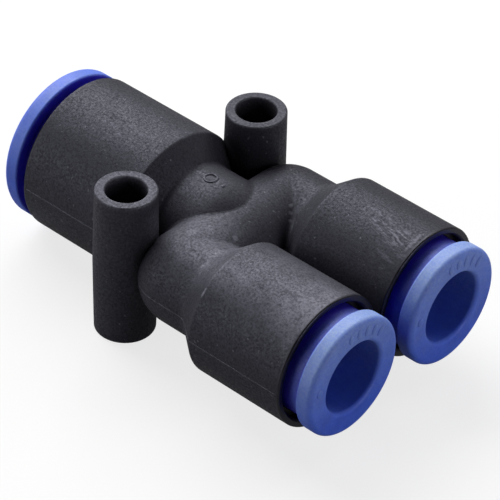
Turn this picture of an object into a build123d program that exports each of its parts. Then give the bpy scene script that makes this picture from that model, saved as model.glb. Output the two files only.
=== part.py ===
# Reducing Y connector for pneumatic tube: one large push-in port and two small ones, with
# release sleeves, on a one-piece moulded body with two mounting bosses.
#
# Frame: millimetres, +X towards the two small ports, +Z up. The origin is midway between
# the two mounting bosses, on the mould's parting plane.
from build123d import *
from dataclasses import dataclass
import os

# Tubes, and the clearances that every port shares
small_tube_radius = 4.0
large_tube_radius = 5.0
socket_clearance = 0.10  # tube in the sleeve and in its seat
running_clearance = 0.10  # sleeve in the guide ring
seat_gap = 0.02  # between pieces pressed or clamped in the body, and the body
tube_bite = 0.15  # how far the claw tips reach inside the tube's surface
seal_squeeze = 0.10  # how far the O-ring reaches inside the tube's surface

# Release sleeve
small_sleeve_wall = 1.3
large_sleeve_wall = 1.6
small_neck_height = 0.7  # neck above the shank that passes the guide's lip
large_neck_height = 0.8
small_flange_height = 0.7  # flange above the neck
large_flange_height = 1.28
flange_thickness = 1.95
face_rounding = 0.6  # at the flange's front
back_rounding = 0.25  # at its back
small_flange_gap = 1.6  # flange to body mouth while the sleeve is out
large_flange_gap = 1.3
sleeve_travel = 1.2
bore_rounding = 0.45
barb_height = 0.5
barb_length = 0.8
stop_clearance = 0.1  # left at each end of the sleeve's travel
finger_slots = 4
finger_slot_width = 1.0
finger_root = 0.5  # solid shank between the slots and the neck

# Guide ring, drawn from sheet
guide_wall = 0.48
guide_recess = 1.3  # below the body's mouth
small_guide_length = 3.7
large_guide_length = 3.9
guide_lip_depth = 1.5  # from the ring's outer end to its inward lip
guide_lip_thickness = 0.6

# Claw ring, cut from spring sheet
small_claw_thickness = 0.35
large_claw_thickness = 0.40
claw_rim_width = 1.0
small_tooth_count = 10
large_tooth_count = 12
tooth_gap = 0.6
tooth_angle = 44.0  # from the port's axis

# Spacer and O-ring
small_spacer_length = 2.85
large_spacer_length = 3.0
spacer_clearance = 0.25  # round the tube
spacer_floor_thickness = 0.7
small_chamber_ledge_width = 0.4  # guide bore down to claw chamber
large_chamber_ledge_width = 0.5
small_seal_ledge_width = 0.4  # claw chamber down to seal bore
large_seal_ledge_width = 0.3
seal_side_gap = 0.05

# Barrels
small_mouth_wall = 0.8
large_mouth_wall = 0.9
small_stop_x = 12.0  # where the small tubes end
large_stop_x = -0.9  # where the large tube ends
small_seat_length = 3.97
large_seat_length = 4.45
lip_rounding = 0.2
mouth_chamfer = 0.2
branch_gap = 0.6  # between the two small barrels
small_shoulder_offset = 2.0  # barrel's shoulder, outward of the tube stop
large_shoulder_offset = 1.2
small_shoulder_length = 2.8
large_shoulder_length = 2.5
shoulder_rounding = 0.5
small_waist_rounding = 2.0  # where the shoulder runs out into the waist
large_waist_rounding = 0.8

# Waist and air passages
trunk_passage_radius = 3.4
branch_passage_radius = 2.9
trunk_wall = 3.0
branch_wall = 2.4
crossing_x = 7.0  # where the passage across both branches runs
trunk_nose_length = 5.7
trunk_nose_overhang = 2.7  # trunk's tip beyond the crossing
crease_rounding = 0.5  # where the ridge meets the trunk and the branches

# Mounting bosses
boss_hole_radius = 2.25
boss_wall = 1.25  # at the parting plane
boss_draft = 1.0  # degrees
boss_offset = 1.0  # hole's axis outside the large barrel
boss_rounding = 0.2
web_height = 3.0
web_reach = 2.6  # into the ridge


@dataclass
class PortSize:
    tube_radius: float
    sleeve_wall: float
    neck_height: float
    flange_height: float
    flange_gap: float
    guide_length: float
    claw_thickness: float
    tooth_count: int
    spacer_length: float
    chamber_ledge_width: float
    seal_ledge_width: float
    mouth_wall: float
    seat_length: float
    shoulder_offset: float
    shoulder_length: float
    waist_rounding: float
    waist_radius: float

    def __post_init__(self):
        # Radii, from the tube outwards
        self.bore_radius = self.tube_radius + socket_clearance
        self.shank_radius = self.bore_radius + self.sleeve_wall
        self.neck_radius = self.shank_radius + self.neck_height
        self.flange_radius = self.neck_radius + self.flange_height
        self.guide_inner_radius = self.neck_radius + running_clearance
        self.guide_outer_radius = self.guide_inner_radius + guide_wall
        self.guide_bore_radius = self.guide_outer_radius + seat_gap
        self.body_radius = self.guide_bore_radius + self.mouth_wall
        self.chamber_radius = self.guide_bore_radius - self.chamber_ledge_width
        self.seal_bore_radius = self.chamber_radius - self.seal_ledge_width
        self.seal_inner_radius = self.tube_radius - seal_squeeze
        self.seal_outer_radius = self.seal_bore_radius - seat_gap
        self.cord_radius = (self.seal_outer_radius - self.seal_inner_radius) / 2
        self.claw_rim_radius = self.guide_outer_radius - claw_rim_width
        self.claw_tip_radius = self.tube_radius - tube_bite

        # Distances outward from the tube stop
        self.spacer_floor = self.seat_length + 2 * (self.cord_radius + seal_side_gap)
        self.claw_floor = self.spacer_floor + self.spacer_length
        self.guide_floor = self.claw_floor + self.claw_thickness
        self.guide_end = self.guide_floor + self.guide_length
        self.lip_end = self.guide_end - guide_lip_depth
        self.lip_floor = self.lip_end - guide_lip_thickness
        self.mouth = self.guide_end + guide_recess
        self.flange_back = self.mouth + self.flange_gap
        self.face = self.flange_back + flange_thickness


@dataclass
class Port:
    name: str
    size: PortSize
    outward: int  # +1 towards +X, -1 towards -X
    stop_x: float
    y: float

    def __post_init__(self):
        origin = (self.stop_x, self.y, 0)
        self.axis = Axis(origin, (self.outward, 0, 0))
        # A section is drawn with x outward from the tube stop and y as the radius
        self.section = Plane(origin, x_dir=(self.outward, 0, 0), z_dir=(0, -self.outward, 0))

    def across(self, distance):
        # The plane across the port's axis, facing outward, at a distance from the tube stop
        origin = (self.stop_x + self.outward * distance, self.y, 0)
        return Plane(origin, x_dir=(0, 0, 1), z_dir=(self.outward, 0, 0))


trunk_radius = trunk_passage_radius + trunk_wall
branch_radius = branch_passage_radius + branch_wall

large_size = PortSize(
    tube_radius=large_tube_radius,
    sleeve_wall=large_sleeve_wall,
    neck_height=large_neck_height,
    flange_height=large_flange_height,
    flange_gap=large_flange_gap,
    guide_length=large_guide_length,
    claw_thickness=large_claw_thickness,
    tooth_count=large_tooth_count,
    spacer_length=large_spacer_length,
    chamber_ledge_width=large_chamber_ledge_width,
    seal_ledge_width=large_seal_ledge_width,
    mouth_wall=large_mouth_wall,
    seat_length=large_seat_length,
    shoulder_offset=large_shoulder_offset,
    shoulder_length=large_shoulder_length,
    waist_rounding=large_waist_rounding,
    waist_radius=trunk_radius,
)
small_size = PortSize(
    tube_radius=small_tube_radius,
    sleeve_wall=small_sleeve_wall,
    neck_height=small_neck_height,
    flange_height=small_flange_height,
    flange_gap=small_flange_gap,
    guide_length=small_guide_length,
    claw_thickness=small_claw_thickness,
    tooth_count=small_tooth_count,
    spacer_length=small_spacer_length,
    chamber_ledge_width=small_chamber_ledge_width,
    seal_ledge_width=small_seal_ledge_width,
    mouth_wall=small_mouth_wall,
    seat_length=small_seat_length,
    shoulder_offset=small_shoulder_offset,
    shoulder_length=small_shoulder_length,
    waist_rounding=small_waist_rounding,
    waist_radius=branch_radius,
)
branch_y = small_size.body_radius + branch_gap / 2
boss_y = large_size.body_radius + boss_offset

large = Port("large", large_size, -1, large_stop_x, 0.0)
left = Port("left", small_size, 1, small_stop_x, -branch_y)
right = Port("right", small_size, 1, small_stop_x, branch_y)
ports = [large, left, right]


def barrel_outline(port, inner_end):
    # Half section of a barrel's outside, from inside the waist to the mouth
    size = port.size
    with BuildSketch(port.section) as outline:
        with BuildLine():
            FilletPolyline(
                (inner_end, size.waist_radius),
                (size.shoulder_offset - size.shoulder_length, size.waist_radius),
                (size.shoulder_offset, size.body_radius),
                (size.mouth, size.body_radius),
                (size.mouth, 0),
                radius=[size.waist_rounding, shoulder_rounding, lip_rounding],
            )
            Polyline((size.mouth, 0), (inner_end, 0), (inner_end, size.waist_radius))
        make_face()
    return outline.sketch


def socket_outline(port):
    # Half section of the stepped hole that holds a port's pieces, down to the tube stop
    size = port.size
    with BuildSketch(port.section) as outline:
        with BuildLine():
            Polyline(
                (0, 0),
                (0, size.bore_radius),
                (size.seat_length, size.bore_radius),
                (size.seat_length, size.seal_bore_radius),
                (size.spacer_floor, size.seal_bore_radius),
                (size.spacer_floor, size.chamber_radius),
                (size.claw_floor, size.chamber_radius),
                (size.claw_floor, size.guide_bore_radius),
                (size.mouth - mouth_chamfer, size.guide_bore_radius),
                (size.mouth, size.guide_bore_radius + mouth_chamfer),
                (size.mouth, 0),
                close=True,
            )
        make_face()
    return outline.sketch


trunk_nose_x = crossing_x + trunk_nose_overhang - trunk_nose_length
boss_end = large_size.body_radius  # so the fitting stands on its bosses and its large barrel
boss_places = [(0, -boss_y), (0, boss_y)]

with BuildPart() as body:
    # Barrels, their shoulders and the straight parts of the waist
    revolve(barrel_outline(large, large_stop_x - trunk_nose_x), axis=large.axis)
    for port in (left, right):
        revolve(barrel_outline(port, crossing_x - port.stop_x), axis=port.axis)

    # Rounded end of the trunk
    with BuildSketch(Plane.XZ):
        with BuildLine():
            dome = EllipticalCenterArc((trunk_nose_x, 0), trunk_nose_length, trunk_radius, 0, arc_size=90)
            Polyline(dome @ 1, (trunk_nose_x, 0), dome @ 0)
        make_face()
    revolve(axis=Axis.X)

    # Ball at each elbow, and the ridge between them, blended into the trunk and branches
    with Locations((crossing_x, -branch_y, 0), (crossing_x, branch_y, 0)):
        Sphere(branch_radius)
    with BuildSketch(Plane.XZ):
        with Locations((crossing_x, 0)):
            Circle(branch_radius)
    extrude(amount=branch_y, both=True)
    creases = body.edges(Select.NEW).filter_by(GeomType.CIRCLE, reverse=True)
    fillet(creases, crease_rounding)

    # Bosses, drafted both ways from the parting plane, on a web
    with BuildSketch(Plane.XY):
        with Locations(*boss_places):
            Circle(boss_hole_radius + boss_wall)
    extrude(amount=boss_end, both=True, taper=boss_draft)
    with BuildSketch(Plane.XY):
        Rectangle(2 * web_reach, 2 * boss_y)
    extrude(amount=web_height / 2, both=True)

    # Sockets and air passages
    for port in ports:
        revolve(socket_outline(port), axis=port.axis, mode=Mode.SUBTRACT)
    with BuildSketch(large.across(0)):
        Circle(trunk_passage_radius)
    extrude(amount=large_stop_x - crossing_x, mode=Mode.SUBTRACT)
    for port in (left, right):
        with BuildSketch(port.across(0)):
            Circle(branch_passage_radius)
        extrude(amount=crossing_x - port.stop_x, mode=Mode.SUBTRACT)
    with BuildSketch(Plane.XZ):
        with Locations((crossing_x, 0)):
            Circle(branch_passage_radius)
    extrude(amount=branch_y, both=True, mode=Mode.SUBTRACT)
    with Locations((crossing_x, -branch_y, 0), (crossing_x, branch_y, 0)):
        Sphere(branch_passage_radius, mode=Mode.SUBTRACT)

    # Holes through the bosses, whose ends are rounded inside and out
    with Locations(*boss_places):
        Hole(boss_hole_radius, depth=2 * boss_end)
    flats = body.faces().filter_by(Axis.Z)
    boss_ends = flats.filter_by(lambda flat: abs(flat.center().Z) > web_height)
    fillet(boss_ends.edges(), boss_rounding)


def release_sleeve(port):
    size = port.size
    nose_end = size.lip_floor - stop_clearance - barb_length
    neck_end = size.lip_end + sleeve_travel + stop_clearance
    slot_depth = neck_end - finger_root - nose_end
    with BuildPart() as sleeve:
        with BuildSketch(port.section):
            with BuildLine():
                Polyline(
                    (nose_end, size.bore_radius),
                    (nose_end, size.shank_radius - barb_height),
                    (nose_end + barb_length, size.shank_radius + barb_height),
                    (nose_end + barb_length, size.shank_radius),
                    (neck_end, size.shank_radius),
                    (neck_end, size.neck_radius),
                    (size.flange_back, size.neck_radius),
                    (size.flange_back, size.flange_radius),
                    (size.face, size.flange_radius),
                    (size.face, size.bore_radius),
                    close=True,
                )
            make_face()
        revolve(axis=port.axis)

        # Roundings at the bore, and at the front and back of the flange
        face_circles = sleeve.edges().filter_by(GeomType.CIRCLE).group_by(port.axis)[-1]
        fillet(face_circles.sort_by(SortBy.RADIUS)[0], bore_rounding)
        face_circles = sleeve.edges().filter_by(GeomType.CIRCLE).group_by(port.axis)[-1]
        fillet(face_circles.sort_by(SortBy.RADIUS)[-1], face_rounding)
        rim_circles = sleeve.edges().filter_by(GeomType.CIRCLE).group_by(SortBy.RADIUS)[-1]
        fillet(rim_circles.sort_by(port.axis)[0], back_rounding)

        # Slots between the fingers, which spring in to pass the guide's lip
        with BuildSketch(port.across(nose_end)):
            with PolarLocations(size.shank_radius, finger_slots):
                Rectangle(size.shank_radius, finger_slot_width)
        extrude(amount=slot_depth, mode=Mode.SUBTRACT)
    return sleeve


def guide_ring(port):
    size = port.size
    lip_radius = size.shank_radius + running_clearance
    with BuildPart() as guide:
        with BuildSketch(port.section):
            with BuildLine():
                Polyline(
                    (size.guide_floor, size.guide_outer_radius),
                    (size.guide_end, size.guide_outer_radius),
                    (size.guide_end, size.guide_inner_radius),
                    (size.lip_end, size.guide_inner_radius),
                    (size.lip_end, lip_radius),
                    (size.lip_floor, lip_radius),
                    (size.lip_floor, size.guide_inner_radius),
                    (size.guide_floor, size.guide_inner_radius),
                    close=True,
                )
            make_face()
        revolve(axis=port.axis)
    return guide


def claw_ring(port):
    size = port.size
    # The teeth lean from the rim's inner edge towards the tube stop
    lean = Vector(-1, 0).rotate(Axis.Z, tooth_angle)
    root = Vector(size.claw_floor, size.claw_rim_radius)
    outer_root = Vector(size.guide_floor, size.claw_rim_radius)
    tip = root + lean * ((size.claw_tip_radius - root.Y) / lean.Y)
    outer_tip = tip + lean.rotate(Axis.Z, 90) * size.claw_thickness
    with BuildPart() as claw:
        with BuildSketch(port.section):
            with BuildLine():
                Polyline(
                    tip,
                    root,
                    (size.claw_floor, size.guide_outer_radius),
                    (size.guide_floor, size.guide_outer_radius),
                    outer_root,
                    outer_tip,
                    close=True,
                )
            make_face()
        revolve(axis=port.axis)

        # Gaps between the teeth
        with BuildSketch(port.across(size.guide_floor)):
            with PolarLocations(size.claw_rim_radius / 2, size.tooth_count):
                Rectangle(size.claw_rim_radius, tooth_gap)
        extrude(amount=-size.guide_floor, mode=Mode.SUBTRACT)
    return claw


def spacer(port):
    size = port.size
    outer_radius = size.chamber_radius - seat_gap
    bore_radius = size.tube_radius + spacer_clearance
    cup_floor = size.spacer_floor + spacer_floor_thickness
    cup_radius = (bore_radius + size.claw_rim_radius) / 2
    with BuildPart() as ring:
        with BuildSketch(port.section):
            with BuildLine():
                Polyline(
                    (size.spacer_floor, bore_radius),
                    (size.spacer_floor, outer_radius),
                    (size.claw_floor, outer_radius),
                    (size.claw_floor, size.claw_rim_radius),
                    (cup_floor, cup_radius),
                    (cup_floor, bore_radius),
                    close=True,
                )
            make_face()
        revolve(axis=port.axis)
    return ring


def o_ring(port):
    size = port.size
    middle = size.seat_length + seal_side_gap + size.cord_radius
    with BuildPart() as seal:
        with BuildSketch(port.section):
            with Locations((middle, size.seal_inner_radius + size.cord_radius)):
                Circle(size.cord_radius)
        revolve(axis=port.axis)
    return seal


pieces = {"body": body}
for port in ports:
    pieces[f"{port.name}_release_sleeve"] = release_sleeve(port)
    pieces[f"{port.name}_guide_ring"] = guide_ring(port)
    pieces[f"{port.name}_claw_ring"] = claw_ring(port)
    pieces[f"{port.name}_spacer_ring"] = spacer(port)
    pieces[f"{port.name}_o_ring"] = o_ring(port)

os.makedirs("parts", exist_ok=True)
for name, piece in pieces.items():
    piece.part.label = name
    export_step(piece.part, f"parts/{name}.step")
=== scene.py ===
# Push-in Y connector for air tube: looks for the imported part.
# Black glass-filled body, three blue release sleeves, and the metal and rubber seen inside them.
import math

import bmesh
import bpy
from mathutils import Matrix, Quaternion, Vector
from mathutils.bvhtree import BVHTree


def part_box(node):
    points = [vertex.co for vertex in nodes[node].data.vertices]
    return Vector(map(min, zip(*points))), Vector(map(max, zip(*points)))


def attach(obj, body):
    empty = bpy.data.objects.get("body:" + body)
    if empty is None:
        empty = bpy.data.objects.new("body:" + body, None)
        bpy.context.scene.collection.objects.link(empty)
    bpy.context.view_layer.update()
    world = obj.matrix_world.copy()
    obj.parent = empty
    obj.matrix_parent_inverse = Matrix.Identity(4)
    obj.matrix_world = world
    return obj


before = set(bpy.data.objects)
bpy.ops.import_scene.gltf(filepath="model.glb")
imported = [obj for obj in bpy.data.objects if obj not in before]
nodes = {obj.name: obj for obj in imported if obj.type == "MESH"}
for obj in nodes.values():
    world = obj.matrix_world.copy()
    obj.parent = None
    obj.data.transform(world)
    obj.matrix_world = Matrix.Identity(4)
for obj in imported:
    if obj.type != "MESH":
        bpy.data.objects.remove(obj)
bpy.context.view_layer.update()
mm = 0.001  # every size and place below is in mm, and Blender takes metres


def linear(code):
    # sRGB hex to the linear colour that a socket takes
    channels = [int(code[i:i + 2], 16) / 255 for i in (0, 2, 4)]
    return [c / 12.92 if c <= 0.04045 else ((c + 0.055) / 1.055) ** 2.4 for c in channels] + [1.0]


def emptyTree(owner):
    owner.use_nodes = True
    owner.node_tree.nodes.clear()
    return owner.node_tree


def addNode(tree, kind, settings=None, **inputs):
    # A node with its settings, and a value or a link for each input, named or numbered as in i0.
    # A node given as a value links its first output in use. From and To take both their ends.
    node = tree.nodes.new(kind)
    for name, value in (settings or {}).items():
        if name == "stops":  # a colour ramp's two positions and colours
            for element, (position, code) in zip(node.color_ramp.elements, value):
                element.position, element.color = position, linear(code)
        else:
            setattr(node, name, value)
    for name, value in inputs.items():
        if name in ("From", "To"):
            for end, number in zip((" Min", " Max"), value):
                node.inputs[name + end].default_value = number
            continue
        key = int(name[1:]) if name[1:].isdigit() else name.replace("_", " ")
        if isinstance(value, bpy.types.Node):
            value = next(output for output in value.outputs if output.enabled)
        if isinstance(value, bpy.types.NodeSocket):
            tree.links.new(value, node.inputs[key])
        else:
            node.inputs[key].default_value = value
    return node


def nearness(tree, place, centre, reach):
    # 1 round a centre, falling smoothly to 0 at its reach along each axis
    full, none = 0.25, 1.0  # shares of the reach
    scaled = addNode(tree, "ShaderNodeMapping", {"vector_type": "TEXTURE"}, Vector=place,
                     Location=[c * mm for c in centre], Scale=[r * mm for r in reach])
    away = addNode(tree, "ShaderNodeVectorMath", {"operation": "LENGTH"}, i0=scaled)
    return addNode(tree, "ShaderNodeMapRange", {"interpolation_type": "SMOOTHSTEP"}, Value=away,
                   From=(full, none), To=(1.0, 0.0))


def patches(tree, place, spots):
    # Soft spots added up, each with a centre, a reach and a strength
    total = 0.0
    for centre, reach, strength in spots:
        near = nearness(tree, place, centre, reach)
        total = addNode(tree, "ShaderNodeMath", {"operation": "MULTIPLY_ADD"},
                        i0=near, i1=strength, i2=total)
    return total


def mouldedSkin(tree, place, look):
    # What a spark-eroded cavity leaves on a plastic: soft clouds, a sandy grain and its relief
    cloud = addNode(tree, "ShaderNodeTexNoise", Vector=place, Scale=1 / (look["cloudSize"] * mm),
                    Detail=4.0, Roughness=0.6)
    grain = addNode(tree, "ShaderNodeTexNoise", Vector=place, Scale=1 / (look["grainSize"] * mm),
                    Detail=2.0, Roughness=0.7)
    sand = addNode(tree, "ShaderNodeMapRange", Value=grain, From=look["pitsToTops"])
    relief = addNode(tree, "ShaderNodeBump", Strength=look["grainRelief"],
                     Distance=look["grainDepth"] * mm, Height=grain)
    return cloud, sand, relief


def glassFilledPolyester():
    # Body: black glass-filled polyester, moulded in a spark-eroded cavity. A matt, sandy surface
    # with a cold sheen, a few pale glass specks, and lighter marks and scratches where it has
    # scuffed against its neighbours in the box. Its edges are lighter, partly from wear and partly
    # as painted highlight, and wide soft patches of painted highlight lie on the near branch, its
    # shoulder and the tops of the bosses. The lips of the mouths were moulded on polished cores
    # and are smoother; their darker colour is painted shade.
    look = {
        "skin": "151519",
        "sand": "2A2A31",
        "cloudSize": 1.4,
        "cloudShare": 0.35,  # of the clouds, added to the grain
        "skinToSand": (0.15, 1.0),  # of grain and clouds
        "grainSize": 0.25,  # spark-erosion pits, drawn about twice their real width
        "grainDepth": 0.030,
        "grainRelief": 0.9,
        "pitsToTops": (0.28, 0.72),  # of the grain's noise
        "rough": 0.80,  # in the pits
        "smooth": 0.42,  # on the polished tops
        "roughToSmooth": (0.15, 1.15),  # of grain and clouds
        "sheen": "E6E6FF",
        "ior": 1.57,
        "dustAndHighlight": "6E6E79",
        "dustAndHighlightInPits": 0.28,
        "dustAndHighlightOnTops": 0.70,  # more than in the pits
        "thinToThick": (0.34, 0.66),  # of the clouds
        "dustAndHighlightShares": (0.5, 1.0),  # where it lies thin and thick
        # Edges come out lighter, partly as wear and partly as painted highlight
        "edgeWidth": 0.30,
        "flatToEdge": (0.95, 0.55),  # of the depth of material behind the surface
        "edgeWearAndHighlight": 1.1,
        "speck": "6C6C76",
        "speckSize": 0.36,
        "speckPeaks": (0.785, 0.86),  # of the specks' noise, so that only a few show
        "speckStrength": 0.7,
        # Painted shade on the lips, where the sleeves' flanges shade them
        "lipShade": "09090B",
        "polished": 0.36,  # roughness of the lips
        "lips": [(25.85, 26.10), (-16.10, -16.30)],  # along X, where the smoothness and painted shade start and are full
        "scratchSize": (1.5, 0.34, 0.9),  # along X, Y and Z
        "scratchTurn": -0.14,  # radians about Z
        "scratchPeaks": (0.50, 0.68),  # of the scratches' noise
        "rubbedAndLit": [  # centre, reach and strength
            # The first five and the eighth are painted highlight, on the near branch, its shoulder
            # and the tops of the bosses; the sixth and seventh lighten the tops of the large
            # barrel and the trunk; the rest are small scuffs.
            ((20.5, -8.5, 7.0), (11.5, 9.0, 5.5), 0.80),
            ((26.0, -9.5, 6.0), (5.5, 6.5, 5.0), 1.35),
            ((8.5, -7.5, 5.0), (9.0, 7.0, 4.5), 1.05),
            ((0.0, -10.0, 9.0), (4.5, 4.5, 1.2), 1.15),
            ((0.0, 10.0, 9.0), (4.5, 4.5, 1.2), 0.35),
            ((-9.0, 2.0, 9.0), (9.0, 6.0, 4.0), 0.10),
            ((1.5, -1.2, 6.4), (2.8, 2.4, 2.0), 0.25),
            ((15.4, -11.0, 6.8), (3.2, 3.0, 3.0), 0.60),
            ((25.4, 6.0, 7.3), (0.32, 2.4, 0.9), 1.5),
            ((14.05, -13.2, 5.15), (0.20, 0.80, 0.80), 2.0),
            ((10.0, 4.6, 4.4), (0.30, 0.40, 0.35), 1.5),
            ((10.5, 4.0, 4.0), (0.35, 0.35, 0.35), 1.5),
            ((11.0, 3.4, 3.55), (0.35, 0.30, 0.35), 1.0),
            ((9.7, -3.8, 4.5), (0.45, 0.40, 0.45), 2.0),
        ],
        "scratched": [
            ((23.0, 5.6, 7.2), (4.0, 1.6, 2.0), 2.2),
            ((20.0, 6.6, 7.3), (2.6, 1.6, 2.0), 1.2),
            ((24.4, 3.5, 6.4), (3.0, 2.4, 2.6), 0.7),
            ((-8.0, -3.0, 8.4), (5.5, 3.0, 2.0), 0.5),
        ],
    }
    material = bpy.data.materials.new("glass_filled_polyester")
    tree = emptyTree(material)
    place = addNode(tree, "ShaderNodeTexCoord").outputs["Object"]
    cloud, sand, relief = mouldedSkin(tree, place, look)

    # Dust and painted highlight lie on the patches and the edges, thicker in some clouds than in
    # others
    edges = addNode(tree, "ShaderNodeAmbientOcclusion",
                    {"inside": True, "only_local": True, "samples": 8},
                    Distance=look["edgeWidth"] * mm).outputs["AO"]
    edged = addNode(tree, "ShaderNodeMapRange", Value=edges, From=look["flatToEdge"],
                    To=(0.0, look["edgeWearAndHighlight"]))
    wornAndLit = addNode(tree, "ShaderNodeMath", {"operation": "ADD"},
                   i0=patches(tree, place, look["rubbedAndLit"]), i1=edged)
    thickness = addNode(tree, "ShaderNodeMapRange", Value=cloud, From=look["thinToThick"],
                        To=look["dustAndHighlightShares"])
    dustAndHighlight = addNode(tree, "ShaderNodeMath", {"operation": "MULTIPLY"}, i0=wornAndLit, i1=thickness)

    # Scratches add to it, and all of it catches on the tops of the grain
    drawn = addNode(tree, "ShaderNodeMapping", {"vector_type": "TEXTURE"}, Vector=place,
                    Rotation=(0, 0, look["scratchTurn"]),
                    Scale=[s * mm for s in look["scratchSize"]])
    lines = addNode(tree, "ShaderNodeTexNoise", Vector=drawn, Scale=1.0, Detail=3.0, Roughness=0.6,
                    Distortion=0.4)
    scratches = addNode(tree, "ShaderNodeMapRange", Value=lines, From=look["scratchPeaks"])
    dustAndHighlight = addNode(tree, "ShaderNodeMath", {"operation": "MULTIPLY_ADD"},
                   i0=scratches, i1=patches(tree, place, look["scratched"]), i2=dustAndHighlight)
    gritty = addNode(tree, "ShaderNodeMath", {"operation": "MULTIPLY_ADD"},
                     i0=sand, i1=look["dustAndHighlightOnTops"], i2=look["dustAndHighlightInPits"])
    dustAndHighlight = addNode(tree, "ShaderNodeMath", {"operation": "MULTIPLY", "use_clamp": True},
                   i0=dustAndHighlight, i1=gritty)

    # 1 on the lips of the three mouths, which get painted shade and a smoother surface
    along = addNode(tree, "ShaderNodeSeparateXYZ", Vector=place).outputs["X"]
    lip = 0.0
    for start, end in look["lips"]:
        past = addNode(tree, "ShaderNodeMapRange", Value=along, From=(start * mm, end * mm))
        lip = addNode(tree, "ShaderNodeMath", {"operation": "MAXIMUM"}, i0=past, i1=lip)

    cloudy = addNode(tree, "ShaderNodeMath", {"operation": "MULTIPLY_ADD"},
                     i0=cloud, i1=look["cloudShare"], i2=sand)
    colour = addNode(tree, "ShaderNodeValToRGB",
                     {"stops": zip(look["skinToSand"], (look["skin"], look["sand"]))}, Fac=cloudy)
    peaks = addNode(tree, "ShaderNodeTexNoise", Vector=place, Scale=1 / (look["speckSize"] * mm),
                    Detail=0.0)
    specks = addNode(tree, "ShaderNodeMapRange", Value=peaks, From=look["speckPeaks"],
                     To=(0.0, look["speckStrength"]))
    # Dust with painted highlight, the glass specks and the painted shade on the lips are laid over
    # the colour in turn
    for amount, layer in ((dustAndHighlight, "dustAndHighlight"), (specks, "speck"), (lip, "lipShade")):
        colour = addNode(tree, "ShaderNodeMix", {"data_type": "RGBA"},
                         i0=amount, i6=colour, i7=linear(look[layer]))
    gloss = addNode(tree, "ShaderNodeMapRange", Value=cloudy, From=look["roughToSmooth"],
                    To=(look["rough"], look["smooth"]))
    gloss = addNode(tree, "ShaderNodeMix", {"data_type": "FLOAT"},
                    i0=lip, i2=gloss, i3=look["polished"])
    shader = addNode(tree, "ShaderNodeBsdfPrincipled", Base_Color=colour, Roughness=gloss,
                     IOR=look["ior"], Specular_Tint=linear(look["sheen"]), Normal=relief)
    addNode(tree, "ShaderNodeOutputMaterial", Surface=shader)
    return material


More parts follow.
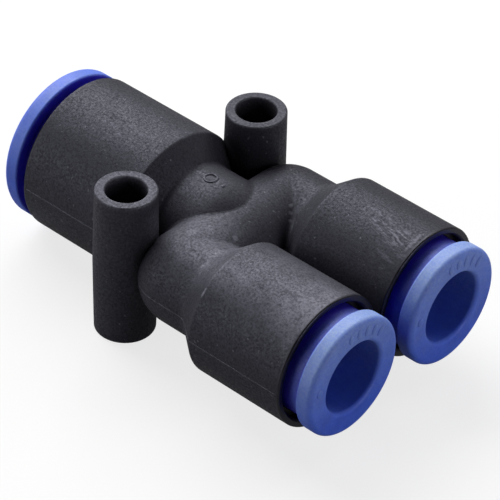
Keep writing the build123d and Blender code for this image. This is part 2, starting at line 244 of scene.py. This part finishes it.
def acetal():
    # Release sleeves: blue acetal, moulded in a spark-eroded cavity. Silky, with painted violet
    # shade in its hollows, and a pale painted highlight on the rims and the upper side of the
    # faces, stronger on the small sleeves than on the large one. Light goes a little way into it.
    look = {
        "deep": "2E58E2",
        "light": "3C6AF6",
        "cloudSize": 2.0,
        "deepToLight": (0.30, 0.72),  # of the clouds
        "grainSize": 0.26,  # drawn about twice its real width
        "grainDepth": 0.014,
        "grainRelief": 0.8,
        "pitsToTops": (0.28, 0.72),  # of the grain's noise
        "rough": 0.66,  # in the pits
        "smooth": 0.44,  # on the tops
        "ior": 1.50,
        "gleam": 0.7,
        "softness": 0.7,  # how far light travels inside
        "softShare": 0.30,
        "softColours": (0.35, 0.5, 1.0),  # shares of that distance for red, green and blue
        "hollowShade": "3E2EE0",
        "hollowDepth": 2.5,  # how near a wall must stand to paint shade into the colour
        "hollowToOpen": (0.55, 0.92),  # of the open space before the surface
        "paintedHighlight": "B2CEF2",
        "highlightInPits": 0.46,
        "highlightOnTops": 0.30,  # more than in the pits
        "rimToFace": (0.15, 0.80),  # of how squarely the surface faces along X
        "rimHighlight": (1.0, 0.62),  # shares of the painted highlight there
        "lowToHigh": (-4.5, 5.5),  # along Z
        "upperHighlight": (0.08, 1.0),
        "largeToSmall": (-10, 10),  # along X, from the large sleeve to the small ones
        "smallSleeveHighlight": (0.35, 1.0),
    }
    material = bpy.data.materials.new("blue_acetal")
    tree = emptyTree(material)
    source = addNode(tree, "ShaderNodeTexCoord")
    place = source.outputs["Object"]
    cloud, sand, relief = mouldedSkin(tree, place, look)

    # Painted highlight: each of four things (rims, upper side, open places, small sleeves) gives
    # its share
    across = addNode(tree, "ShaderNodeSeparateXYZ", Vector=source.outputs["Normal"])
    sideways = addNode(tree, "ShaderNodeMath", {"operation": "ABSOLUTE"}, i0=across.outputs["X"])
    rim = addNode(tree, "ShaderNodeMapRange", Value=sideways, From=look["rimToFace"],
                  To=look["rimHighlight"])
    where = addNode(tree, "ShaderNodeSeparateXYZ", Vector=place)
    upper = addNode(tree, "ShaderNodeMapRange", Value=where.outputs["Z"],
                    From=[z * mm for z in look["lowToHigh"]], To=look["upperHighlight"])
    smallSleeves = addNode(tree, "ShaderNodeMapRange", Value=where.outputs["X"],
                      From=[x * mm for x in look["largeToSmall"]], To=look["smallSleeveHighlight"])
    walls = addNode(tree, "ShaderNodeAmbientOcclusion", {"samples": 8},
                    Distance=look["hollowDepth"] * mm).outputs["AO"]
    opened = addNode(tree, "ShaderNodeMapRange", Value=walls, From=look["hollowToOpen"])
    paintedHighlight = addNode(tree, "ShaderNodeMath", {"operation": "MULTIPLY_ADD"},
                    i0=sand, i1=look["highlightOnTops"], i2=look["highlightInPits"])
    for share in (rim, upper, opened, smallSleeves):
        paintedHighlight = addNode(tree, "ShaderNodeMath", {"operation": "MULTIPLY"}, i0=paintedHighlight, i1=share)

    blue = addNode(tree, "ShaderNodeValToRGB",
                   {"stops": zip(look["deepToLight"], (look["deep"], look["light"]))}, Fac=cloud)
    # Painted shade: the colour turns deep violet in the hollows, where the walls shade it
    blue = addNode(tree, "ShaderNodeMix", {"data_type": "RGBA"},
                   i0=opened, i6=linear(look["hollowShade"]), i7=blue)
    colour = addNode(tree, "ShaderNodeMix", {"data_type": "RGBA"},
                     i0=paintedHighlight, i6=blue, i7=linear(look["paintedHighlight"]))
    gloss = addNode(tree, "ShaderNodeMapRange", Value=sand, To=(look["rough"], look["smooth"]))
    shader = addNode(tree, "ShaderNodeBsdfPrincipled", Base_Color=colour, Roughness=gloss,
                     IOR=look["ior"], Specular_IOR_Level=look["gleam"],
                     Subsurface_Weight=look["softShare"], Subsurface_Scale=look["softness"] * mm,
                     Subsurface_Radius=look["softColours"], Normal=relief)
    addNode(tree, "ShaderNodeOutputMaterial", Surface=shader)
    return material


def insideFinish(name, look):
    # A part inside the ports: two close shades in a faint pattern, which drawing pulls out along X
    darkToLight = (0.3, 0.7)  # of the pattern's noise
    material = bpy.data.materials.new(name)
    tree = emptyTree(material)
    place = addNode(tree, "ShaderNodeTexCoord").outputs["Object"]
    pulled = addNode(tree, "ShaderNodeMapping", Vector=place, Scale=(1 / look["pulledOut"], 1, 1))
    pattern = addNode(tree, "ShaderNodeTexNoise", Vector=pulled,
                      Scale=1 / (look["patternSize"] * mm), Detail=look["detail"])
    colour = addNode(tree, "ShaderNodeValToRGB",
                     {"stops": zip(darkToLight, (look["dark"], look["light"]))}, Fac=pattern)
    shader = addNode(tree, "ShaderNodeBsdfPrincipled", Base_Color=colour, **look["shader"])
    addNode(tree, "ShaderNodeOutputMaterial", Surface=shader)
    return material


def newObject(name, mesh, material):
    # A finished bmesh becomes an object of the scene
    data = bpy.data.meshes.new(name)
    mesh.to_mesh(data)
    mesh.free()
    data.materials.append(material)
    placed = bpy.data.objects.new(name, data)
    bpy.context.collection.objects.link(placed)
    return placed


def faceTarget(name, data, place, target, roll=0.0):
    # A camera or a lamp, put in its place and turned to its target
    holder = bpy.data.objects.new(name, data)
    holder.location = Vector(place) * mm
    turn = (Vector(target) * mm - holder.location).to_track_quat("-Z", "Y")
    holder.rotation_euler = (turn @ Quaternion((0, 0, 1), math.radians(roll))).to_euler()
    bpy.context.collection.objects.link(holder)
    return holder


camera = {
    "place": (165.285, -181.640, 188.326),
    "lookAt": (6.231, 2.691, -2.592),
    "roll": 2.467,  # degrees, top of the view leans left
    "lens": 208.13,
    "sensorWidth": 36.0,
    "clipStart": 10.0,
}


def buildCamera():
    lens = bpy.data.cameras.new("camera")
    lens.lens = camera["lens"]
    lens.sensor_width = camera["sensorWidth"]
    lens.clip_start = camera["clipStart"] * mm
    bpy.context.scene.camera = faceTarget("camera", lens, camera["place"], camera["lookAt"],
                                          camera["roll"])


stage = {
    "floorSize": 1600,
    "floorHeight": -9.02,  # under the bosses
    "floorColour": "8E8E8E",
    "white": "FFFFFF",  # the backdrop, and the light that the floor adds for the camera
    "whiteNear": 0.76,  # strength of the floor's white by the part
    "whiteFar": 1.0,  # and far off, where the lamps don't reach
    "whiteReach": 420,  # where the far value is full
    "whiteMirrored": 0.12,  # the same white, as gloss and glass see it
    "lampsFace": (5, 0, 0),  # the part's middle
}

# Place, size and watts of each soft box
lamps = {
    "rearSoftbox": {"place": (-400, 170, 425), "size": (660, 420), "power": 4.60},
    "farFill": {"place": (50, 490, 344), "size": (340, 340), "power": 0.70},
    "lowLeftFill": {"place": (-350, -470, 150), "size": (500, 340), "power": 1.00},
    "frontFill": {"place": (580, 60, 130), "size": (340, 340), "power": 1.00},
}


def palePaper():
    # Floor: matt pale paper, lifted to white for the camera, so that only the shadow shows
    material = bpy.data.materials.new("pale_paper")
    tree = emptyTree(material)
    path = addNode(tree, "ShaderNodeLightPath")
    mirrored = addNode(tree, "ShaderNodeMath", {"operation": "MAXIMUM"},
                       i0=path.outputs["Is Glossy Ray"], i1=path.outputs["Is Transmission Ray"])
    mirrored = addNode(tree, "ShaderNodeMath", {"operation": "MULTIPLY"},
                       i0=mirrored, i1=stage["whiteMirrored"])
    place = addNode(tree, "ShaderNodeTexCoord").outputs["Object"]
    near = nearness(tree, place, (0, 0, stage["floorHeight"]), [stage["whiteReach"]] * 3)
    seen = addNode(tree, "ShaderNodeMapRange", Value=near,
                   To=(stage["whiteFar"], stage["whiteNear"]))
    glow = addNode(tree, "ShaderNodeMath", {"operation": "MULTIPLY_ADD"},
                   i0=path.outputs["Is Camera Ray"], i1=seen, i2=mirrored)
    paper = addNode(tree, "ShaderNodeBsdfDiffuse", Color=linear(stage["floorColour"]))
    white = addNode(tree, "ShaderNodeEmission", Color=linear(stage["white"]), Strength=glow)
    mixed = addNode(tree, "ShaderNodeAddShader", i0=paper, i1=white)
    addNode(tree, "ShaderNodeOutputMaterial", Surface=mixed)
    return material


def buildStage():
    mesh = bmesh.new()
    bmesh.ops.create_grid(mesh, x_segments=1, y_segments=1, size=stage["floorSize"] / 2 * mm)
    bmesh.ops.translate(mesh, verts=mesh.verts, vec=(0, 0, stage["floorHeight"] * mm))
    newObject("floor", mesh, palePaper())

    world = bpy.data.worlds.new("studio")
    tree = emptyTree(world)
    path = addNode(tree, "ShaderNodeLightPath")
    sky = addNode(tree, "ShaderNodeBackground", Color=linear(stage["white"]),
                  Strength=path.outputs["Is Camera Ray"])
    addNode(tree, "ShaderNodeOutputWorld", Surface=sky)
    bpy.context.scene.world = world

    for name, lamp in lamps.items():
        light = bpy.data.lights.new(name, "AREA")
        light.shape = "RECTANGLE"
        light.size, light.size_y = (side * mm for side in lamp["size"])
        light.energy = lamp["power"]
        faceTarget(name, light, lamp["place"], stage["lampsFace"])


buildCamera()
buildStage()
bpy.context.scene.view_settings.view_transform = "Standard"
print("stage and camera ready")

body = glassFilledPolyester()
sleeve = acetal()
finishes = {
    "body": body,
    "release_sleeve": sleeve,
    # Drawn brass under nickel plate, with faint draw lines; its colour is painted dark grey, as
    # the shade in the mouth
    "guide_ring": insideFinish("nickel_plated_brass", {
        "light": "55534E", "dark": "3C3A36", "patternSize": 0.2, "pulledOut": 20, "detail": 3.0,
        "shader": {"Roughness": 0.42, "Metallic": 1.0}}),
    # Stamped spring strip: bright and cold, so that the teeth stand out in the dark bore
    "claw_ring": insideFinish("spring_stainless_steel", {
        "light": "C4C5C8", "dark": "9EA0A4", "patternSize": 0.1, "pulledOut": 20, "detail": 3.0,
        "shader": {"Roughness": 0.28, "Metallic": 1.0}}),
    # Moulded acetal without pigment: an even, waxy off-white
    "spacer_ring": insideFinish("natural_acetal", {
        "light": "E2DFD4", "dark": "D2CEC0", "patternSize": 1.5, "pulledOut": 1, "detail": 4.0,
        "shader": {"Roughness": 0.45, "IOR": 1.48}}),
    # Moulded and greased nitrile rubber: near black, with a soft shine
    "o_ring": insideFinish("nitrile_rubber", {
        "light": "1E1E20", "dark": "141416", "patternSize": 0.8, "pulledOut": 1, "detail": 4.0,
        "shader": {"Roughness": 0.38, "IOR": 1.52}}),
}
for name, node in nodes.items():
    kind = name if name == "body" else name.split("_", 1)[1]  # without its port
    node.data.materials.clear()
    node.data.materials.append(finishes[kind])
print("finishes given to", len(nodes), "nodes")


def newPiece(name, mesh, material, bodyName):
    # A finished bmesh becomes a piece that rides on a body
    bmesh.ops.recalc_face_normals(mesh, faces=mesh.faces)
    piece = newObject(name, mesh, material)
    piece.data.shade_smooth()
    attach(piece, bodyName)
    return piece


def faceMarks(port):
    # Short rounded bars standing up on a small sleeve's face, and one pad at its side
    look = {
        "barAngles": [47, 60, 73, 86, 99],  # degrees from Y towards Z
        "barSize": (0.30, 0.72, 1.25),  # along the axis, round it, outwards
        "padAngle": 168,
        "padSize": (0.32, 1.00, 0.90),
        "radius": 5.45,  # to a mark's middle
        "sunk": 0.02,  # from a mark's middle up to the face
        "subdivisions": 4,
    }
    low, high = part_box(f"{port}_release_sleeve")
    centre = Matrix.Translation((high[0], (low[1] + high[1]) / 2, 0))
    out = Matrix.Translation((-look["sunk"] * mm, 0, look["radius"] * mm))
    marks = [(angle, look["barSize"]) for angle in look["barAngles"]]
    marks.append((look["padAngle"], look["padSize"]))
    mesh = bmesh.new()
    for angle, size in marks:
        made = bmesh.ops.create_icosphere(mesh, subdivisions=look["subdivisions"],
                                          radius=0.5)["verts"]  # 1 across, and scaled to size
        bmesh.ops.scale(mesh, verts=made, vec=[s * mm for s in size])
        turn = Matrix.Rotation(math.radians(angle - 90), 4, "X")  # from straight up
        bmesh.ops.transform(mesh, verts=made, matrix=centre @ turn @ out)
    return newPiece(f"{port}_face_marks", mesh, sleeve, f"{port}_sleeve")


def gateMark():
    # Witness of the injection gate on top of the trunk: a low ring, and a pip beside it
    look = {
        "centre": (2.55, 0.15, 6.40),
        "ringRadius": 0.70,
        "ringSection": 0.11,  # radius
        "ringSides": 10,
        "ringSteps": 48,
        "pip": (4.35, 0.10, 6.36),
        "pipRadius": 0.26,
        "pipFlattened": 0.4,
        "pipSubdivisions": 3,
        "mergeWithin": 0.001,
    }
    mesh = bmesh.new()
    made = bmesh.ops.create_circle(mesh, segments=look["ringSides"],
                                   radius=look["ringSection"] * mm)["verts"]
    upright = Matrix.Rotation(math.radians(90), 4, "X")
    out = Matrix.Translation((look["ringRadius"] * mm, 0, 0))
    bmesh.ops.transform(mesh, verts=made, matrix=out @ upright)
    bmesh.ops.spin(mesh, geom=mesh.edges[:], cent=(0, 0, 0), axis=(0, 0, 1),
                   angle=math.radians(360), steps=look["ringSteps"], use_merge=True)
    bmesh.ops.remove_doubles(mesh, verts=mesh.verts, dist=look["mergeWithin"] * mm)
    bmesh.ops.translate(mesh, verts=mesh.verts, vec=[c * mm for c in look["centre"]])
    pip = bmesh.ops.create_icosphere(mesh, subdivisions=look["pipSubdivisions"],
                                     radius=look["pipRadius"] * mm)["verts"]
    bmesh.ops.scale(mesh, verts=pip, vec=(1.0, 1.0, look["pipFlattened"]))
    bmesh.ops.translate(mesh, verts=pip, vec=[c * mm for c in look["pip"]])
    return newPiece("gate_mark", mesh, body, "body")


def partingLine():
    # Flash left where the mould's halves met: a thin bead along the body's sides at half height
    look = {
        "height": 0.18,  # along Z
        "rooted": 0.03,  # how deep its inner edge lies in the wall
        "step": 0.3,
        "stretches": [  # along X, clear of the bosses, and how proud each stands
            (-15.9, -3.9, 0.035),
            (3.9, 25.9, 0.015),
        ],
        "rayFrom": 20,  # beside the body
        "rayAbove": 0.01,  # the seam, where the mesh has an edge that a ray could slip through
    }
    source = bmesh.new()
    source.from_mesh(nodes["body"].data)
    skin = BVHTree.FromBMesh(source)
    source.free()
    up = Vector((0, 0, look["height"] / 2 * mm))
    mesh = bmesh.new()
    for side in (-1, 1):
        for start, end, proud in look["stretches"]:
            count = round((end - start) / look["step"])
            rings = []  # the edges of each section
            for i in range(count + 1):
                x = start + (end - start) * i / count
                eye = Vector((x, side * look["rayFrom"], look["rayAbove"])) * mm
                hit, normal = skin.ray_cast(eye, Vector((0, -side, 0)))[:2]
                outward = Vector((normal.x, normal.y, 0)).normalized() * mm
                corners = [mesh.verts.new(point) for point in (
                    hit - outward * look["rooted"], hit + up, hit + outward * proud, hit - up)]
                rings.append([mesh.edges.new(pair)
                              for pair in zip(corners, corners[1:] + corners[:1])])
            for one, two in zip(rings, rings[1:]):
                bmesh.ops.bridge_loops(mesh, edges=one + two)
            for ring in (rings[0], rings[-1]):
                bmesh.ops.contextual_create(mesh, geom=ring)
    return newPiece("parting_line", mesh, body, "body")


pieces = [faceMarks("left"), faceMarks("right"), gateMark(), partingLine()]
print("added", len(pieces), "pieces")
